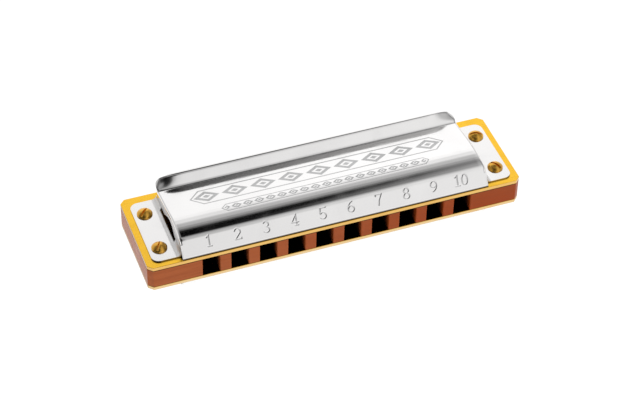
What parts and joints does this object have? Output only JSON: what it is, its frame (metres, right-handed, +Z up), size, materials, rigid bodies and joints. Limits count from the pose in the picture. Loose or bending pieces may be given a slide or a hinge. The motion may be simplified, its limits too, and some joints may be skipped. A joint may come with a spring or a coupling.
{
  "type": "harmonica",
  "caption": "Diatonic mouth organ: wooden comb between brass reed plates with riveted reeds, under pressed steel covers with end tabs and domed slotted screws.",
  "frame": {"origin": "centre of the comb", "axes": "+X along the row of holes towards hole 10, +Y from the mouthpiece to the open backs of the covers, +Z up through the blow plate and the top cover"},
  "size_m": [0.1, 0.026, 0.0208],
  "materials": {
    "lacquered_pearwood": "smooth orange-brown lacquer",
    "plate_brass": "bright rolled sheet",
    "reed_brass": "milled and filed",
    "screw_brass": "turned and polished",
    "cover_steel": "polished stainless steel"
  },
  "bodies": {
    "instrument": {"comb": "lacquered_pearwood", "upper_reed_plate": "plate_brass", "lower_reed_plate": "plate_brass", "reed_plate_screws": "screw_brass", "top_cover": "cover_steel", "bottom_cover": "cover_steel", "top_cover_screws": "screw_brass", "bottom_cover_screws": "screw_brass", "blow_reed_pads": "reed_brass", "draw_reed_pads": "reed_brass", "blow_reed_rivets": "reed_brass", "draw_reed_rivets": "reed_brass"},
    "blow_reed_1": {"blow_reed_1": "reed_brass"},
    "draw_reed_1": {"draw_reed_1": "reed_brass"},
    "blow_reed_2": {"blow_reed_2": "reed_brass"},
    "draw_reed_2": {"draw_reed_2": "reed_brass"},
    "blow_reed_3": {"blow_reed_3": "reed_brass"},
    "draw_reed_3": {"draw_reed_3": "reed_brass"},
    "blow_reed_4": {"blow_reed_4": "reed_brass"},
    "draw_reed_4": {"draw_reed_4": "reed_brass"},
    "blow_reed_5": {"blow_reed_5": "reed_brass"},
    "draw_reed_5": {"draw_reed_5": "reed_brass"},
    "blow_reed_6": {"blow_reed_6": "reed_brass"},
    "draw_reed_6": {"draw_reed_6": "reed_brass"},
    "blow_reed_7": {"blow_reed_7": "reed_brass"},
    "draw_reed_7": {"draw_reed_7": "reed_brass"},
    "blow_reed_8": {"blow_reed_8": "reed_brass"},
    "draw_reed_8": {"draw_reed_8": "reed_brass"},
    "blow_reed_9": {"blow_reed_9": "reed_brass"},
    "draw_reed_9": {"draw_reed_9": "reed_brass"},
    "blow_reed_10": {"blow_reed_10": "reed_brass"},
    "draw_reed_10": {"draw_reed_10": "reed_brass"}
  },
  "joints": [
    {"name": "blow_reed_1_flexure", "type": "hinge", "parent": "instrument", "child": "blow_reed_1", "pos_m": [-0.03375, 0.0062, 0.00267], "axis": [1, 0, 0], "range_deg": [-4, 4], "stiffness_Nm_per_rad": 0.02},
    {"name": "draw_reed_1_flexure", "type": "hinge", "parent": "instrument", "child": "draw_reed_1", "pos_m": [-0.03375, -0.0074, -0.00393], "axis": [1, 0, 0], "range_deg": [-4, 4], "stiffness_Nm_per_rad": 0.02},
    {"name": "blow_reed_2_flexure", "type": "hinge", "parent": "instrument", "child": "blow_reed_2", "pos_m": [-0.02625, 0.00553, 0.00267], "axis": [1, 0, 0], "range_deg": [-4, 4], "stiffness_Nm_per_rad": 0.02},
    {"name": "draw_reed_2_flexure", "type": "hinge", "parent": "instrument", "child": "draw_reed_2", "pos_m": [-0.02625, -0.0074, -0.00393], "axis": [1, 0, 0], "range_deg": [-4, 4], "stiffness_Nm_per_rad": 0.02},
    {"name": "blow_reed_3_flexure", "type": "hinge", "parent": "instrument", "child": "blow_reed_3", "pos_m": [-0.01875, 0.00487, 0.00267], "axis": [1, 0, 0], "range_deg": [-4, 4], "stiffness_Nm_per_rad": 0.02},
    {"name": "draw_reed_3_flexure", "type": "hinge", "parent": "instrument", "child": "draw_reed_3", "pos_m": [-0.01875, -0.0074, -0.00393], "axis": [1, 0, 0], "range_deg": [-4, 4], "stiffness_Nm_per_rad": 0.02},
    {"name": "blow_reed_4_flexure", "type": "hinge", "parent": "instrument", "child": "blow_reed_4", "pos_m": [-0.01125, 0.0042, 0.00267], "axis": [1, 0, 0], "range_deg": [-4, 4], "stiffness_Nm_per_rad": 0.02},
    {"name": "draw_reed_4_flexure", "type": "hinge", "parent": "instrument", "child": "draw_reed_4", "pos_m": [-0.01125, -0.0074, -0.00393], "axis": [1, 0, 0], "range_deg": [-4, 4], "stiffness_Nm_per_rad": 0.02},
    {"name": "blow_reed_5_flexure", "type": "hinge", "parent": "instrument", "child": "blow_reed_5", "pos_m": [-0.00375, 0.00353, 0.00267], "axis": [1, 0, 0], "range_deg": [-4, 4], "stiffness_Nm_per_rad": 0.02},
    {"name": "draw_reed_5_flexure", "type": "hinge", "parent": "instrument", "child": "draw_reed_5", "pos_m": [-0.00375, -0.0074, -0.00393], "axis": [1, 0, 0], "range_deg": [-4, 4], "stiffness_Nm_per_rad": 0.02},
    {"name": "blow_reed_6_flexure", "type": "hinge", "parent": "instrument", "child": "blow_reed_6", "pos_m": [0.00375, 0.00287, 0.00267], "axis": [1, 0, 0], "range_deg": [-4, 4], "stiffness_Nm_per_rad": 0.02},
    {"name": "draw_reed_6_flexure", "type": "hinge", "parent": "instrument", "child": "draw_reed_6", "pos_m": [0.00375, -0.0074, -0.00393], "axis": [1, 0, 0], "range_deg": [-4, 4], "stiffness_Nm_per_rad": 0.02},
    {"name": "blow_reed_7_flexure", "type": "hinge", "parent": "instrument", "child": "blow_reed_7", "pos_m": [0.01125, 0.0022, 0.00267], "axis": [1, 0, 0], "range_deg": [-4, 4], "stiffness_Nm_per_rad": 0.02},
    {"name": "draw_reed_7_flexure", "type": "hinge", "parent": "instrument", "child": "draw_reed_7", "pos_m": [0.01125, -0.0074, -0.00393], "axis": [1, 0, 0], "range_deg": [-4, 4], "stiffness_Nm_per_rad": 0.02},
    {"name": "blow_reed_8_flexure", "type": "hinge", "parent": "instrument", "child": "blow_reed_8", "pos_m": [0.01875, 0.00153, 0.00267], "axis": [1, 0, 0], "range_deg": [-4, 4], "stiffness_Nm_per_rad": 0.02},
    {"name": "draw_reed_8_flexure", "type": "hinge", "parent": "instrument", "child": "draw_reed_8", "pos_m": [0.01875, -0.0074, -0.00393], "axis": [1, 0, 0], "range_deg": [-4, 4], "stiffness_Nm_per_rad": 0.02},
    {"name": "blow_reed_9_flexure", "type": "hinge", "parent": "instrument", "child": "blow_reed_9", "pos_m": [0.02625, 0.00087, 0.00267], "axis": [1, 0, 0], "range_deg": [-4, 4], "stiffness_Nm_per_rad": 0.02},
    {"name": "draw_reed_9_flexure", "type": "hinge", "parent": "instrument", "child": "draw_reed_9", "pos_m": [0.02625, -0.0074, -0.00393], "axis": [1, 0, 0], "range_deg": [-4, 4], "stiffness_Nm_per_rad": 0.02},
    {"name": "blow_reed_10_flexure", "type": "hinge", "parent": "instrument", "child": "blow_reed_10", "pos_m": [0.03375, 0.0002, 0.00267], "axis": [1, 0, 0], "range_deg": [-4, 4], "stiffness_Nm_per_rad": 0.02},
    {"name": "draw_reed_10_flexure", "type": "hinge", "parent": "instrument", "child": "draw_reed_10", "pos_m": [0.03375, -0.0074, -0.00393], "axis": [1, 0, 0], "range_deg": [-4, 4], "stiffness_Nm_per_rad": 0.02}
  ]
}
